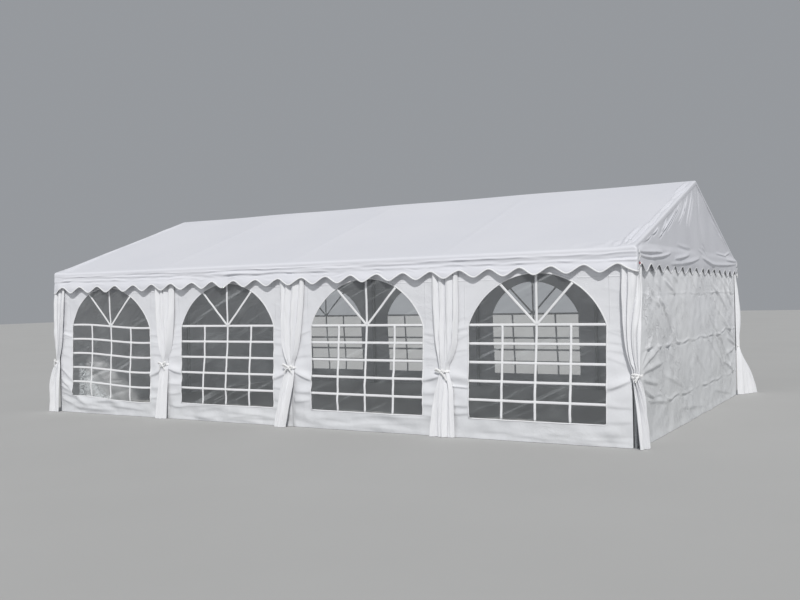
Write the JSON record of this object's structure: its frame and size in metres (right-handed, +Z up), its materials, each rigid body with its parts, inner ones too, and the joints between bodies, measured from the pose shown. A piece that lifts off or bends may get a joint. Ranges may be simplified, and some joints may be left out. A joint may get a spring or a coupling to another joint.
{
  "type": "marquee tent",
  "caption": "Rectangular party tent: pitched white cloth roof with scalloped valances, arched window walls, plain ends and tied leg curtains over a steel tube frame.",
  "frame": {"origin": "on the ground under the middle of the ridge: the bottom centre of the bounding box", "axes": "+X along the ridge to the right end, -Y out of the front side, +Z up"},
  "size_m": [8.3698, 5.3698, 2.7766],
  "materials": {
    "steel": "galvanised, dull",
    "roof_cloth": "coated cloth, satin white",
    "wall_cloth": "coated cloth, satin white",
    "curtain_cloth": "soft white cloth, matte",
    "clear_film": "clear flexible film, gloss"
  },
  "bodies": {
    "root": {"leg_front_1": "steel", "leg_front_2": "steel", "leg_front_3": "steel", "leg_front_4": "steel", "leg_front_5": "steel", "leg_back_1": "steel", "leg_back_2": "steel", "leg_back_3": "steel", "leg_back_4": "steel", "leg_back_5": "steel", "gable_post_left": "steel", "gable_rail_left": "steel", "gable_post_right": "steel", "gable_rail_right": "steel", "roof_truss_1": "steel", "roof_truss_2": "steel", "roof_truss_3": "steel", "roof_truss_4": "steel", "roof_truss_5": "steel", "ridge_rail": "steel", "eave_rail_front": "steel", "eave_rail_back": "steel", "roof_slope_front": "roof_cloth", "roof_slope_back": "roof_cloth", "valance_front": "roof_cloth", "valance_back": "roof_cloth", "gable_cloth_left": "roof_cloth", "gable_cloth_right": "roof_cloth", "side_wall_front_1": "wall_cloth", "window_front_1": "clear_film", "side_wall_front_2": "wall_cloth", "window_front_2": "clear_film", "side_wall_front_3": "wall_cloth", "window_front_3": "clear_film", "side_wall_front_4": "wall_cloth", "window_front_4": "clear_film", "side_wall_back_1": "wall_cloth", "window_back_1": "clear_film", "side_wall_back_2": "wall_cloth", "window_back_2": "clear_film", "side_wall_back_3": "wall_cloth", "window_back_3": "clear_film", "side_wall_back_4": "wall_cloth", "window_back_4": "clear_film", "end_wall_left": "wall_cloth", "end_wall_right": "wall_cloth", "curtain_front_1": "curtain_cloth", "curtain_front_2": "curtain_cloth", "curtain_front_3": "curtain_cloth", "curtain_front_4": "curtain_cloth", "curtain_front_5": "curtain_cloth", "curtain_back_1": "curtain_cloth", "curtain_back_2": "curtain_cloth", "curtain_back_3": "curtain_cloth", "curtain_back_4": "curtain_cloth", "curtain_back_5": "curtain_cloth"}
  },
  "joints": []
}
